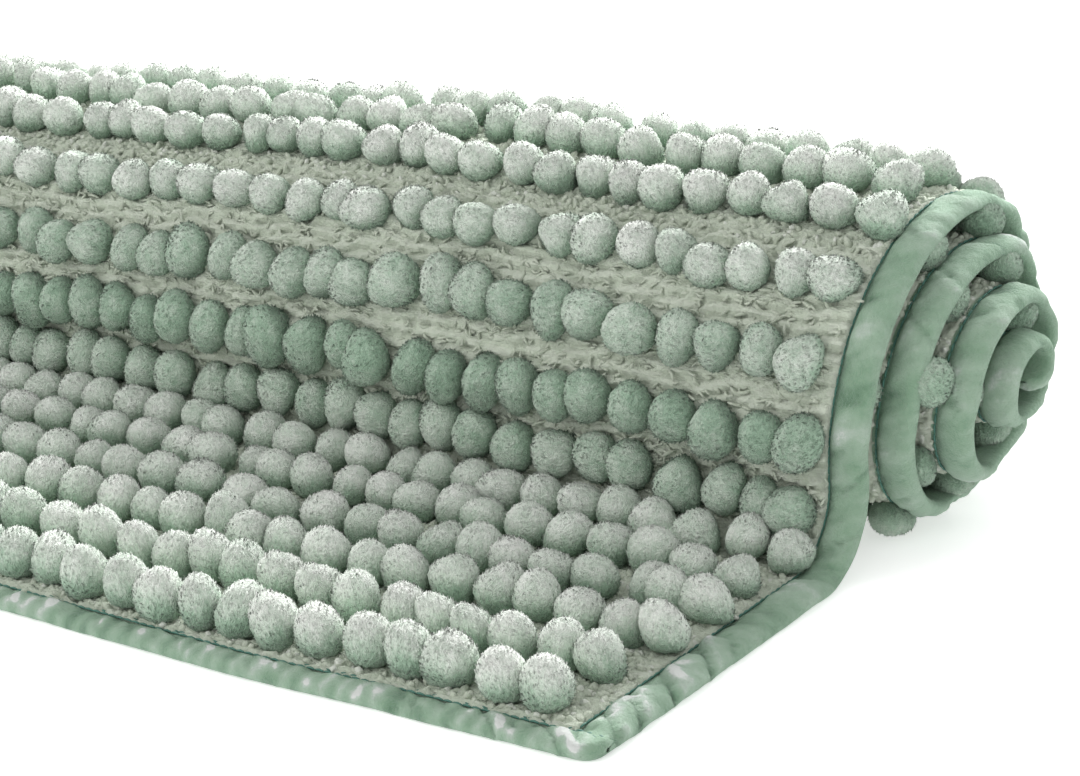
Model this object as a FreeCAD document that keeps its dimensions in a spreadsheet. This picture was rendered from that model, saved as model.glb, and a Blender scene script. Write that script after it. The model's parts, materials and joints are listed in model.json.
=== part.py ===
"""A rolled chenille bath mat: 50 x 80 cm flat, with a short front lip lying open and the rest wound up.

Frame: X runs along the roll and the bobble rows, with the protruding end of the roll at +X. Y runs from
the front edge of the lip to the back of the roll. Z is up and the floor is z = 0. Millimetres throughout.

The middle surface of the base cloth follows one tangent path in the YZ plane: a straight lip, a hollow bend
at the foot of the roll, and then quarter arcs, alternately wider and tighter, that wind into a leaning oval
spiral. Every layer is a band between two offsets of that path, and the pile side is the positive side. The
inner turns stand out of the +X end as a shallow cone, and the other end is hollow by as much.
"""
import FreeCAD
import Part
import math
import os

DIMENSIONS = [
    ("mat_width", 500.0, "flat width of the mat, along X"),
    ("mat_length", 800.0, "flat length of the mat, the way it is rolled"),
    ("lip_length", 118.0, "straight stretch that lies on the floor"),
    ("foot_radius", 23.0, "radius of the hollow bend where the lip turns up into the roll"),
    ("foot_turn", 96.5, "degrees that the foot bend turns through"),
    ("roll_radius", 49.5, "mean radius of the spiral where it starts"),
    ("turn_pitch", 12.0, "how much the mean radius shrinks with each full turn"),
    ("oval_ratio", 0.265, "how far the quarter arcs are wider or tighter than the mean radius"),
    ("oval_heading", -2.2, "degrees, the heading at which the first quarter arc ends"),
    ("cloth_thickness", 1.4, "woven base cloth"),
    ("backing_thickness", 1.0, "anti-slip coat under the cloth"),
    ("pile_height", 4.2, "short ground pile between the rows, above the cloth"),
    ("layer_gap", 0.1, "clearance between bonded or folded layers"),
    ("row_pitch", 21.9, "distance between bobble rows along the mat"),
    ("first_row", 16.0, "distance of the first bobble row from the front edge"),
    ("row_width", 12.4, "width of a bobble row"),
    ("row_height", 13.2, "height of a free bobble row above the cloth"),
    ("crown_radius", 6.1, "rounding of a free row's crown, just under half its width"),
    ("press_gap", 0.4, "clearance between a pressed row and what presses it"),
    ("row_side_gap", 0.3, "clearance on each side of a row in the ground pile"),
    ("row_end_gap", 15.5, "distance of a row's end from the side edge of the mat"),
    ("binding_width", 12.5, "width of the binding tape on each face"),
    ("binding_rise", 2.2, "thickness of the folded tape above the cloth on the pile side"),
    ("binding_edge", 1.5, "thickness of the folded tape beyond the edge of the cloth"),
    ("seam_inset", 11.0, "distance of the seam from the outer edge of the tape"),
    ("seam_width", 0.8, "width of the seam's thread line"),
    ("seam_rise", 0.5, "height of the seam's thread line above the tape"),
    ("cone_radius", 49.5, "radius at which the inner turns start to stand out"),
    ("core_radius", 12.0, "radius inside which they stand out no further"),
    ("cone_rise", 29.0, "distance that the core stands out beyond the lip's side edge"),
    ("reach", 400.0, "size of the blocks that bound the mat, larger than its section"),
]

document = FreeCAD.newDocument("bath_mat")


def fill_sheet():
    sheet = document.addObject("Spreadsheet::Sheet", "dims")
    for row, (alias, value, meaning) in enumerate(DIMENSIONS, start=1):
        sheet.set(f"A{row}", meaning)
        sheet.set(f"B{row}", str(value))
        sheet.setAlias(f"B{row}", alias)
    document.recompute()
    return sheet


dims = fill_sheet()

CLOTH_TOP = dims.cloth_thickness / 2
BACKING_TOP = -CLOTH_TOP - dims.layer_gap
UNDERSIDE = BACKING_TOP - dims.backing_thickness
PILE_FOOT = CLOTH_TOP + dims.layer_gap
PILE_TOP = CLOTH_TOP + dims.pile_height
BINDING_TOP = CLOTH_TOP + dims.binding_rise
LENGTH = dims.mat_length
HALF_ROW = FreeCAD.Vector(0, -dims.row_width / 2, 0)
BOX_TOP_EDGES_ALONG_X = (10, 12)


# ---- the path of the cloth's middle surface, in the YZ plane -------------------------------------------


class Stretch:
    """One tangent stretch of the path: it turns left (side 1), right (side -1) or not at all (side 0)."""

    def __init__(self, start, heading, length, radius=1.0, side=0):
        self.start = start
        self.heading = heading
        self.length = length
        self.radius = radius
        self.side = side

    def turned(self, distance):
        return self.heading + self.side * distance / self.radius

    def point(self, distance, offset):
        heading = self.turned(distance)
        if self.side:
            swing = self.side * self.radius
            y = self.start.y + swing * (math.sin(heading) - math.sin(self.heading))
            z = self.start.z - swing * (math.cos(heading) - math.cos(self.heading))
        else:
            y = self.start.y + distance * math.cos(heading)
            z = self.start.z + distance * math.sin(heading)
        return FreeCAD.Vector(0, y - offset * math.sin(heading), z + offset * math.cos(heading))

    def edge(self, first, last, offset):
        start = self.point(first, offset)
        end = self.point(last, offset)
        if self.side:
            return Part.Arc(start, self.point((first + last) / 2, offset), end).toShape()
        return Part.LineSegment(start, end).toShape()

    def following(self, length, radius, side):
        return Stretch(self.point(self.length, 0.0), self.turned(self.length), length, radius, side)


def make_path():
    """The lip, the foot bend, and quarter arcs until the flat length of the mat is used up."""
    foot_turn = math.radians(dims.foot_turn)
    path = [Stretch(FreeCAD.Vector(0, 0, -UNDERSIDE), 0.0, dims.lip_length)]
    path.append(path[-1].following(dims.foot_radius * foot_turn, dims.foot_radius, side=1))
    left = LENGTH - sum(stretch.length for stretch in path)
    end_heading = math.radians(dims.oval_heading)
    widening = dims.oval_ratio
    while left > 1e-6:
        turns_done = (math.pi / 4 - end_heading) / (2 * math.pi)
        radius = (dims.roll_radius - dims.turn_pitch * turns_done) * (1 + widening)
        start_heading = path[-1].turned(path[-1].length)
        length = min(radius * (start_heading - end_heading), left)
        path.append(path[-1].following(length, radius, side=-1))
        left -= length
        end_heading -= math.pi / 2
        widening = -widening
    return path


PATH = make_path()


def on_path(distance):
    """The stretch at a distance from the front edge, and the distance along that stretch."""
    for stretch in PATH[:-1]:
        if distance <= stretch.length:
            return stretch, distance
        distance -= stretch.length
    return PATH[-1], distance


def path_point(distance, offset):
    stretch, along = on_path(distance)
    return stretch.point(along, offset)


def path_edges(start, stop, offset):
    edges = []
    passed = 0.0
    for stretch in PATH:
        first = max(start - passed, 0.0)
        last = min(stop - passed, stretch.length)
        if last - first > 1e-6:
            edges.append(stretch.edge(first, last, offset))
        passed += stretch.length
    return edges


def outline(corners):
    """A closed face from (distance, offset) corners: it follows the path where the offset is the same."""
    edges = []
    for (start, low), (stop, high) in zip(corners, corners[1:] + corners[:1]):
        if low == high:
            edges += path_edges(min(start, stop), max(start, stop), low)
        else:
            edges.append(Part.LineSegment(path_point(start, low), path_point(stop, high)).toShape())
    return Part.Face(Part.Wire(Part.__sortEdges__(edges)))


def rectangle(start, stop, low, high):
    return [(start, low), (stop, low), (stop, high), (start, high)]


ROLL_AXIS = PATH[-1].point(0.0, -PATH[-1].radius)


def standing_out(point):
    """How far the mat is shifted to +X at a point of the section, from the slope of the cone."""
    radius = max(math.hypot(point.y - ROLL_AXIS.y, point.z - ROLL_AXIS.z), dims.core_radius)
    slope = dims.cone_rise / (dims.cone_radius - dims.core_radius)
    return slope * max(0.0, dims.cone_radius - radius)


# ---- building blocks ------------------------------------------------------------------------------------


def add(kind, name, **bindings):
    """A document object whose named properties are bound to the sheet."""
    piece = document.addObject(kind, name)
    for name_of_property, expression in bindings.items():
        piece.setExpression(name_of_property, expression)
    return piece


def combine(kind, name, base, tool):
    piece = document.addObject(kind, name)
    piece.Base = base
    piece.Tool = tool
    return piece


def extruded(name, corners):
    """A section of the mat, extruded along X from the far side edge to past the point of the cone."""
    section = document.addObject("Part::Feature", f"{name}_section")
    section.Shape = outline(corners)
    section.Placement.Base.x = -dims.mat_width
    solid = add("Part::Extrusion", f"{name}_solid", LengthFwd="dims.mat_width + dims.cone_rise")
    solid.Base = section
    solid.DirMode = "Custom"
    solid.Dir = FreeCAD.Vector(1, 0, 0)
    solid.Solid = True
    return solid


def cone(name, base_x):
    piece = add("Part::Cone", name, Radius1="dims.cone_radius", Radius2="dims.core_radius",
                Height="dims.cone_rise")
    piece.Placement = FreeCAD.Placement(ROLL_AXIS, FreeCAD.Rotation(FreeCAD.Vector(0, 1, 0), 90))
    piece.setExpression("Placement.Base.x", base_x)
    return piece


def envelope(name, inset):
    """The width of the mat less an inset at each side edge, with a standing cone and a hollow one."""
    block = add("Part::Box", f"{name}_block", Length=f"dims.mat_width - 2 * {inset}",
                Width="dims.reach", Height="dims.reach")
    block.setExpression("Placement.Base.x", f"{inset} - dims.mat_width")
    block.setExpression("Placement.Base.y", "-dims.reach / 4")
    block.setExpression("Placement.Base.z", "-dims.reach / 4")
    grown = document.addObject("Part::MultiFuse", f"{name}_grown")
    grown.Shapes = [block, cone(f"{name}_standing", f"-1 * {inset}")]
    return combine("Part::Cut", name, grown, cone(f"{name}_hollow", f"{inset} - dims.mat_width"))


def half(name, base_x):
    """A block that holds one side edge of the mat."""
    block = add("Part::Box", name, Length="dims.mat_width", Width="dims.reach", Height="dims.reach")
    block.setExpression("Placement.Base.x", base_x)
    block.setExpression("Placement.Base.y", "-dims.reach / 4")
    block.setExpression("Placement.Base.z", "-dims.reach / 4")
    return block


finished = []


def finish(piece, label):
    piece.Label = label
    finished.append(piece)


# ---- the sub-parts --------------------------------------------------------------------------------------


def make_sheets():
    """The base cloth, and the anti-slip coat inside the bindings."""
    edge = dims.binding_edge
    cloth = extruded("cloth", rectangle(edge, LENGTH - edge, -CLOTH_TOP, CLOTH_TOP))
    cloth_width = envelope("cloth_width", "dims.binding_edge")
    finish(combine("Part::Common", "base_cloth", cloth, cloth_width), "base_cloth")
    inset = dims.binding_width + dims.layer_gap
    coat = extruded("coat", rectangle(inset, LENGTH - inset, UNDERSIDE, BACKING_TOP))
    coat_width = envelope("coat_width", "(dims.binding_width + dims.layer_gap)")
    finish(combine("Part::Common", "antislip_backing", coat, coat_width), "antislip_backing")
    return coat_width


def row_distances():
    count = int((LENGTH - 2 * dims.first_row) / dims.row_pitch) + 1
    return [dims.first_row + index * dims.row_pitch for index in range(count)]


def room_over(distance):
    """The height over the cloth at a row before the floor, or the underside of the next turn out."""
    stretch, along = on_path(distance)
    heading = stretch.turned(along)
    base = stretch.point(along, CLOTH_TOP)
    out = FreeCAD.Vector(0, -math.sin(heading), math.cos(heading))
    across = FreeCAD.Vector(0, math.cos(heading), math.sin(heading))
    room = dims.row_height + dims.press_gap
    if out.z < 0:
        room = min(room, base.z / -out.z)
    for other in range(int(LENGTH)):
        if abs(other - distance) > 2 * dims.row_width:
            reach = path_point(other, UNDERSIDE) - base
            if abs(reach.dot(across)) < dims.row_width / 2 and reach.dot(out) > 0:
                room = min(room, reach.dot(out))
    return room - dims.press_gap


def row_place(distance):
    """The frame at the foot of a bobble row: X along the row, Y along the mat, Z out of the pile."""
    stretch, along = on_path(distance)
    lift = 0.0
    if stretch.side > 0:
        lift = dims.row_width ** 2 / 8 / (stretch.radius - PILE_FOOT)
    base = stretch.point(along, PILE_FOOT + lift)
    base.x = standing_out(base) + dims.row_end_gap - dims.mat_width
    lean = math.degrees(stretch.turned(along))
    return FreeCAD.Placement(base, FreeCAD.Rotation(FreeCAD.Vector(1, 0, 0), lean))


def make_row(number, distance):
    """One bobble yarn: a bar with a rounded crown, as tall as its place in the roll leaves room for."""
    name = f"bobble_row_{number:02d}"
    bar = add("Part::Box", f"{name}_bar",
              Length="dims.mat_width - 2 * dims.row_end_gap", Width="dims.row_width")
    bar.Height = min(dims.row_height, room_over(distance))
    bar.Placement = row_place(distance).multiply(FreeCAD.Placement(HALF_ROW, FreeCAD.Rotation()))
    rounding = min(dims.crown_radius, bar.Height.Value / 2)
    row = document.addObject("Part::Fillet", name)
    row.Base = bar
    row.Edges = [(edge, rounding, rounding) for edge in BOX_TOP_EDGES_ALONG_X]
    finish(row, name)


def make_row_slot(number, distance):
    """The space in the ground pile that a bobble row stands in."""
    slot = add("Part::Box", f"row_slot_{number:02d}", Length="dims.mat_width + dims.reach",
               Width="dims.row_width + 2 * dims.row_side_gap", Height="3 * dims.pile_height")
    place = row_place(distance)
    place.Base.x = -dims.mat_width - dims.reach / 2
    corner = FreeCAD.Vector(0, HALF_ROW.y - dims.row_side_gap, -dims.pile_height)
    slot.Placement = place.multiply(FreeCAD.Placement(corner, FreeCAD.Rotation()))
    return slot


def make_rows():
    slots = []
    for number, distance in enumerate(row_distances(), start=1):
        make_row(number, distance)
        slots.append(make_row_slot(number, distance))
    return slots


def make_ground_pile(pile_width, slots):
    """Strips of short pile between the bobble rows: one band with the rows' slots cut out."""
    inset = dims.binding_width + dims.layer_gap
    band = extruded("pile", rectangle(inset, LENGTH - inset, PILE_FOOT, PILE_TOP))
    trimmed = combine("Part::Common", "pile_trimmed", band, pile_width)
    tools = document.addObject("Part::Compound", "row_slots")
    tools.Links = slots
    finish(combine("Part::Cut", "ground_pile", trimmed, tools), "ground_pile")


def folded_tape(outer, inner):
    """The section of a tape folded over an end of the cloth, from its outer edge to its inner edges."""
    inward = 1 if inner > outer else -1
    bottom = outer + inward * (dims.binding_edge - dims.layer_gap)
    return [(outer, UNDERSIDE), (inner, UNDERSIDE), (inner, BACKING_TOP), (bottom, BACKING_TOP),
            (bottom, PILE_FOOT), (inner, PILE_FOOT), (inner, BINDING_TOP), (outer, BINDING_TOP)]


def make_end_bindings(whole_width):
    """The tapes across the front edge and the wound-in end, the full width of the mat."""
    ends = [
        ("binding_front", 0.0, dims.binding_width),
        ("binding_inner_end", LENGTH, LENGTH - dims.binding_width),
    ]
    for name, outer, inner in ends:
        tape = extruded(name, folded_tape(outer, inner))
        finish(combine("Part::Common", name, tape, whole_width), name)


def make_side_bindings(whole_width, halves):
    """The tapes along the two side edges, between the end tapes, with a slot for the cloth."""
    start = dims.binding_width + dims.layer_gap
    stop = LENGTH - start
    tape = extruded("side_tape", rectangle(start, stop, UNDERSIDE, BINDING_TOP))
    slot_band = extruded("cloth_slot", rectangle(0.0, LENGTH, BACKING_TOP, PILE_FOOT))
    slot_width = envelope("slot_width", "(dims.binding_edge - dims.layer_gap)")
    slot = combine("Part::Common", "cloth_slot", slot_band, slot_width)
    rim = combine("Part::Cut", "tape_rim", whole_width, envelope("tape_inside", "dims.binding_width"))
    solid = combine("Part::Common", "side_tapes", tape, rim)
    folded = combine("Part::Cut", "side_tapes_folded", solid, slot)
    for side, block in halves.items():
        name = f"binding_{side}"
        finish(combine("Part::Common", name, folded, block), name)


def make_end_seams(whole_width):
    """The line of stitches along the inner edge of each end tape."""
    inner = dims.seam_inset + dims.seam_width
    lines = [
        ("seam_front", dims.seam_inset, inner),
        ("seam_inner_end", LENGTH - inner, LENGTH - dims.seam_inset),
    ]
    for name, start, stop in lines:
        line = extruded(name, rectangle(start, stop, BINDING_TOP, BINDING_TOP + dims.seam_rise))
        finish(combine("Part::Common", name, line, whole_width), name)


def make_side_seams(halves):
    """The line of stitches along the inner edge of each side tape."""
    start = dims.binding_width + dims.layer_gap
    line = extruded("side_seam", rectangle(start, LENGTH - start, BINDING_TOP, BINDING_TOP + dims.seam_rise))
    outside = envelope("seam_outside", "dims.seam_inset")
    inside = envelope("seam_inside", "(dims.seam_inset + dims.seam_width)")
    rim = combine("Part::Cut", "seam_rim", outside, inside)
    lines = combine("Part::Common", "side_seams", line, rim)
    for side, block in halves.items():
        name = f"seam_{side}"
        finish(combine("Part::Common", name, lines, block), name)


def centre_on_floor():
    """Moves every sub-part so that the origin is under the middle of the whole mat."""
    box = FreeCAD.BoundBox()
    for piece in finished:
        box.add(piece.Shape.BoundBox)
    for piece in finished:
        piece.Placement.Base = FreeCAD.Vector(-box.Center.x, -box.Center.y, 0)
    return box


def check():
    for piece in document.Objects:
        if {"Invalid", "Error"} & set(piece.State):
            raise RuntimeError(f"{piece.Label} failed: {piece.State}")
    for piece in finished:
        if piece.Shape.isNull() or not piece.Shape.isValid() or not piece.Shape.Solids:
            raise RuntimeError(f"{piece.Label} has no valid solid")


def main():
    whole_width = envelope("whole_width", "(0 * dims.mat_width)")
    halves = {"right": half("right_half", "-dims.mat_width / 2"),
              "left": half("left_half", "-dims.mat_width * 3 / 2")}
    pile_width = make_sheets()
    slots = make_rows()
    make_ground_pile(pile_width, slots)
    make_end_bindings(whole_width)
    make_side_bindings(whole_width, halves)
    make_end_seams(whole_width)
    make_side_seams(halves)
    document.recompute()
    check()
    box = centre_on_floor()
    document.recompute()
    check()
    os.makedirs("parts", exist_ok=True)
    for piece in finished:
        piece.Shape.exportStep(os.path.join("parts", f"{piece.Label}.step"))
    print(f"{len(finished)} sub-parts, box {box.XLength:.1f} x {box.YLength:.1f} x {box.ZLength:.1f} mm")


main()
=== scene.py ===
"""Looks of the rolled chenille bath mat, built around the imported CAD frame.

Lengths in this script are millimetres until a mesh is written; lights, the floor and bump distances are in
metres. A place on the mat is given by three numbers: u, the distance from its left side edge, s, the distance
from its front edge along the cloth, and n, the height over the cloth's middle surface on the pile side.
surface() turns them into a place in the frame.
"""
import json
import math

import bpy
import numpy as np
from mathutils import Matrix, Vector

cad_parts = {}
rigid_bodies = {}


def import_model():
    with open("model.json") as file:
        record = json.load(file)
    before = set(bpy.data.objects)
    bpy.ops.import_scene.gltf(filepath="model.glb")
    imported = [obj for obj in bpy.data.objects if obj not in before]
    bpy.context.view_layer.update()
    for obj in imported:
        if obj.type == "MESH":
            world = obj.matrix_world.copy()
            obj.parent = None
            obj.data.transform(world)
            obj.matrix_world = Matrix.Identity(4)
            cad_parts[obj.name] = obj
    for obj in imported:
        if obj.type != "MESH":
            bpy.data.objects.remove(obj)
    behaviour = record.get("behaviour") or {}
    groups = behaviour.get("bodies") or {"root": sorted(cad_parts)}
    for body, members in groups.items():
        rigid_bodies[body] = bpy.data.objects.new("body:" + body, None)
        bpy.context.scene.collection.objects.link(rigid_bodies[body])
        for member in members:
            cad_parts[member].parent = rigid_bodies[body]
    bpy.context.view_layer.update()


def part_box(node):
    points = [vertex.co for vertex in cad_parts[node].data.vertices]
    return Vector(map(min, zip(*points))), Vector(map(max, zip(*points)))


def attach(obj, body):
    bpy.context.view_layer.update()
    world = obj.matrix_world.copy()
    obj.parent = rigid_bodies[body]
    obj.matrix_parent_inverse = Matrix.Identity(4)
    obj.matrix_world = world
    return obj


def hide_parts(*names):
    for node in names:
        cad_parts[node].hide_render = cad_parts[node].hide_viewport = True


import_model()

MM = 0.001
SEED = 41

# ---- the mat, as in the CAD model ----
WIDTH = 500.0
LENGTH = 800.0
LIP_LENGTH = 118.0
FOOT_RADIUS = 23.0
FOOT_TURN = math.radians(96.5)
ROLL_RADIUS = 49.5
TURN_PITCH = 12.0
OVAL_RATIO = 0.265
OVAL_HEADING = math.radians(-2.2)
MIDDLE_HEIGHT = 1.8
CLOTH_TOP = 0.7
BACKING_TOP = -0.8
UNDERSIDE = -1.8
ROW_PITCH = 21.9
FIRST_ROW = 16.0
ROW_COUNT = 36
ROW_END_GAP = 13.0
BINDING_WIDTH = 12.5
FRONT_NARROWING = 0.78
FRONT_BAND = BINDING_WIDTH * FRONT_NARROWING
CORNER_RADIUS = 8.0

front_low, front_high = (Vector(corner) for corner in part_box("binding_front"))
LEFT_EDGE = front_low.x / MM
FRONT_EDGE = front_low.y / MM
RIGHT_EDGE = front_high.x / MM

# ---- how the soft mat differs from its plain CAD form ----
FIRST_OUT = 112.0
OUT_SLOPE = 0.015
OUT_CURVE = 0.0403e-3
SAG = 0.11
SAG_START = 60.0
SAG_REACH = 300.0
BOW = 3.5
BOW_START = 50.0
BOW_REACH = 70.0
CORNER_DRAW = 2.0
END_DROP = 0.032
END_DROP_START = 340.0
THIRD_TURN_OUT = 2.4
GATHER = 9.5
CORE_TURNS = 2.5
CORE_TIGHTENING = 0.88


def smooth(x):
    """An S-shaped rise from 0 to 1 while x goes from 0 to 1."""
    x = np.clip(x, 0.0, 1.0)
    return x * x * (3 - 2 * x)


def waves(a, b, wavelength, seed, count=9):
    """Smooth seeded noise over two coordinates, about -1.5 to 1.5: a sum of plane waves."""
    rng = np.random.default_rng(seed)
    total = 0.0
    for _ in range(count):
        angle = rng.uniform(0, math.pi)
        length = wavelength * rng.uniform(0.6, 1.7)
        phase = rng.uniform(0, 2 * math.pi)
        total = total + np.sin(2 * math.pi * (a * math.cos(angle) + b * math.sin(angle)) / length + phase)
    return total / math.sqrt(count)


def unit(vectors):
    return vectors / np.linalg.norm(vectors, axis=-1, keepdims=True)


# ---- the path of the cloth in the YZ plane ----


def make_path():
    """Rows of (start distance, y, z, heading, radius, side): the lip, the foot bend and the quarter arcs."""
    stretches = [(0.0, 0.0, MIDDLE_HEIGHT, 0.0, 1.0, 0)]
    passed, y, z, heading = LIP_LENGTH, LIP_LENGTH, MIDDLE_HEIGHT, 0.0
    stretches.append((passed, y, z, heading, FOOT_RADIUS, 1))
    y += FOOT_RADIUS * math.sin(FOOT_TURN)
    z += FOOT_RADIUS * (1 - math.cos(FOOT_TURN))
    passed += FOOT_RADIUS * FOOT_TURN
    heading = FOOT_TURN
    end_heading, widening = OVAL_HEADING, OVAL_RATIO
    while passed < LENGTH:
        turns_done = (math.pi / 4 - end_heading) / (2 * math.pi)
        radius = (ROLL_RADIUS - TURN_PITCH * turns_done) * (1 + widening)
        if turns_done > CORE_TURNS:
            radius *= CORE_TIGHTENING
        stretches.append((passed, y, z, heading, radius, -1))
        y -= radius * (math.sin(end_heading) - math.sin(heading))
        z += radius * (math.cos(end_heading) - math.cos(heading))
        passed += radius * (heading - end_heading)
        heading = end_heading
        end_heading -= math.pi / 2
        widening = -widening
    return np.array(stretches)


PATH = make_path()


def path(s):
    """The y, z and heading of the cloth's middle surface at distances s from the front edge."""
    s = np.asarray(s, float)
    stretch = np.clip(np.searchsorted(PATH[:, 0], s, "right") - 1, 0, None)
    start, y, z, heading, radius, side = PATH[stretch].T
    along = s - start
    turned = heading + side * along / radius
    swing = side * radius
    y = np.where(side == 0, y + along, y + swing * (np.sin(turned) - np.sin(heading)))
    z = np.where(side == 0, z, z - swing * (np.cos(turned) - np.cos(heading)))
    return y, z, turned


def standing_out(s):
    """How far the mat is shifted towards +X: each inner turn stands out a little further."""
    wound = np.clip(np.asarray(s, float) - FIRST_OUT, 0, None)
    third_turn = np.exp(-((np.asarray(s, float) - 650) / 50) ** 2)
    return OUT_SLOPE * wound + OUT_CURVE * wound ** 2 + THIRD_TURN_OUT * third_turn


def surface(u, s, n):
    """Places in the frame, in millimetres, as rows of x, y, z."""
    u, s, n = np.broadcast_arrays(np.asarray(u, float), np.asarray(s, float), np.asarray(n, float))
    shape = u.shape
    u, s, n = u.ravel(), s.ravel(), n.ravel()
    y, z, heading = path(s)
    lowering = SAG * smooth((WIDTH - SAG_START - u) / SAG_REACH)
    lowering = lowering + END_DROP * smooth((u - END_DROP_START) / 60)
    sagging = 1 - lowering * smooth((s - LIP_LENGTH) / 60)
    bowing = BOW * smooth((WIDTH - BOW_START - u) / BOW_REACH) - CORNER_DRAW * smooth((u - WIDTH + 55) / 45)
    bowing = bowing * smooth(1 - s / LIP_LENGTH)
    points = np.stack([
        LEFT_EDGE + u + standing_out(s),
        FRONT_EDGE + y - n * np.sin(heading) - bowing,
        (z + n * np.cos(heading)) * sagging,
    ], axis=-1)
    return points.reshape(*shape, 3)


def gathering(s):
    """How far a row is pushed along the cloth from its even place: the top rows are gathered forwards."""
    return -GATHER * smooth((s - 238) / 38) * smooth((385 - s) / 90)


def directions(s):
    """Unit vectors along the cloth and out of its pile side at distances s."""
    heading = path(s)[2]
    zero = np.zeros_like(heading)
    along = np.stack([zero, np.cos(heading), np.sin(heading)], axis=-1)
    out = np.stack([zero, -np.sin(heading), np.cos(heading)], axis=-1)
    return along, out


# ---- meshes ----


def make_mesh(name, points, faces, materials, slots=None, floats=None, vectors=None, uv=None, normals=None):
    """A mesh object from points in millimetres and faces that all have the same number of corners."""
    mesh = bpy.data.meshes.new(name)
    faces = np.asarray(faces, np.int32)
    count, corners = faces.shape
    mesh.vertices.add(len(points))
    mesh.vertices.foreach_set("co", (np.asarray(points, np.float32) * MM).ravel())
    mesh.loops.add(count * corners)
    mesh.loops.foreach_set("vertex_index", faces.ravel())
    mesh.polygons.add(count)
    mesh.polygons.foreach_set("loop_start", np.arange(0, count * corners, corners, dtype=np.int32))
    mesh.polygons.foreach_set("loop_total", np.full(count, corners, np.int32))
    mesh.update(calc_edges=True)
    mesh.polygons.foreach_set("use_smooth", np.full(count, True))
    for material in materials:
        mesh.materials.append(material)
    if slots is not None:
        mesh.polygons.foreach_set("material_index", np.asarray(slots, np.int32))
    for key, values in (floats or {}).items():
        mesh.attributes.new(key, "FLOAT", "POINT").data.foreach_set("value", np.float32(values))
    for key, values in (vectors or {}).items():
        attribute = mesh.attributes.new(key, "FLOAT_VECTOR", "POINT")
        attribute.data.foreach_set("vector", np.float32(values).ravel())
    if uv is not None:
        layer = mesh.uv_layers.new(name="OFBake")
        layer.data.foreach_set("uv", np.float32(uv)[faces.ravel()].ravel())
    mesh.validate()
    if normals is not None:
        own = np.empty(len(points) * 3, np.float32)
        mesh.vertices.foreach_get("normal", own)
        mesh.normals_split_custom_set_from_vertices(unit(own.reshape(-1, 3) * 0.5 + normals * 0.5))
    piece = bpy.data.objects.new(name, mesh)
    bpy.context.scene.collection.objects.link(piece)
    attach(piece, "root")
    return piece


def grid_faces(rows, columns, close_columns=False):
    """Quads over a grid of points, numbered row by row; the last column can join the first."""
    last = columns if close_columns else columns - 1
    i, j = np.meshgrid(np.arange(rows - 1), np.arange(last), indexing="ij")
    after = (j + 1) % columns
    quads = [i * columns + j, i * columns + after, (i + 1) * columns + after, (i + 1) * columns + j]
    return np.stack(quads, axis=-1).reshape(-1, 4)


def closed_sheet_faces(rows, columns):
    """Quads of a closed sheet whose top grid is followed by its bottom grid."""
    upper = grid_faces(rows, columns)
    lower = upper[:, ::-1] + rows * columns
    rim = np.concatenate([
        np.arange(columns),
        np.arange(1, rows) * columns + columns - 1,
        (rows - 1) * columns + np.arange(columns - 2, -1, -1),
        np.arange(rows - 2, 0, -1) * columns,
    ])
    after = np.roll(rim, -1)
    side = np.stack([rim, rim + rows * columns, after + rows * columns, after], axis=-1)
    return np.concatenate([upper, lower, side])


# ---- materials ----


def new_material(name, roughness, colour=None):
    """A material with its tree and shader; without a colour here, a ramp gives it one."""
    material = bpy.data.materials.new(name)
    material.use_nodes = True
    shader = material.node_tree.nodes["Principled BSDF"]
    shader.inputs["Roughness"].default_value = roughness
    if colour:
        shader.inputs["Base Color"].default_value = (*colour, 1)
    return material, material.node_tree, shader


def node(tree, kind, **settings):
    made = tree.nodes.new(kind)
    for key, value in settings.items():
        setattr(made, key, value)
    return made


def colour_ramp(tree, stops):
    """A colour ramp node with (position, red, green, blue) stops."""
    ramp = node(tree, "ShaderNodeValToRGB")
    elements = ramp.color_ramp.elements
    while len(elements) < len(stops):
        elements.new(0.5)
    for element, (position, red, green, blue) in zip(elements, stops):
        element.position = position
        element.color = (red, green, blue, 1)
    return ramp


def object_place(tree):
    return node(tree, "ShaderNodeTexCoord").outputs["Object"]


def noise(tree, scale, detail=3.0, roughness=0.55, over=None):
    """A noise texture over the object's own coordinates, or over another vector."""
    texture = node(tree, "ShaderNodeTexNoise")
    texture.inputs["Scale"].default_value = scale
    texture.inputs["Detail"].default_value = detail
    texture.inputs["Roughness"].default_value = roughness
    tree.links.new(over or object_place(tree), texture.inputs["Vector"])
    return texture


def map_range(tree, value, *limits):
    """Maps a value from the first two limits to the last two."""
    made = node(tree, "ShaderNodeMapRange")
    for name, limit in zip(("From Min", "From Max", "To Min", "To Max"), limits):
        made.inputs[name].default_value = limit
    tree.links.new(value, made.inputs["Value"])
    return made.outputs["Result"]


def add_values(tree, first, second):
    made = node(tree, "ShaderNodeMath", operation="ADD")
    tree.links.new(first, made.inputs[0])
    tree.links.new(second, made.inputs[1])
    return made.outputs["Value"]


def ramped_colour(tree, shader, value, stops):
    ramp = colour_ramp(tree, stops)
    tree.links.new(value, ramp.inputs["Fac"])
    tree.links.new(ramp.outputs["Color"], shader.inputs["Base Color"])


def add_bump(tree, shader, height, distance, strength):
    bump = node(tree, "ShaderNodeBump")
    bump.inputs["Distance"].default_value = distance
    bump.inputs["Strength"].default_value = strength
    tree.links.new(height, bump.inputs["Height"])
    tree.links.new(bump.outputs["Normal"], shader.inputs["Normal"])


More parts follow.
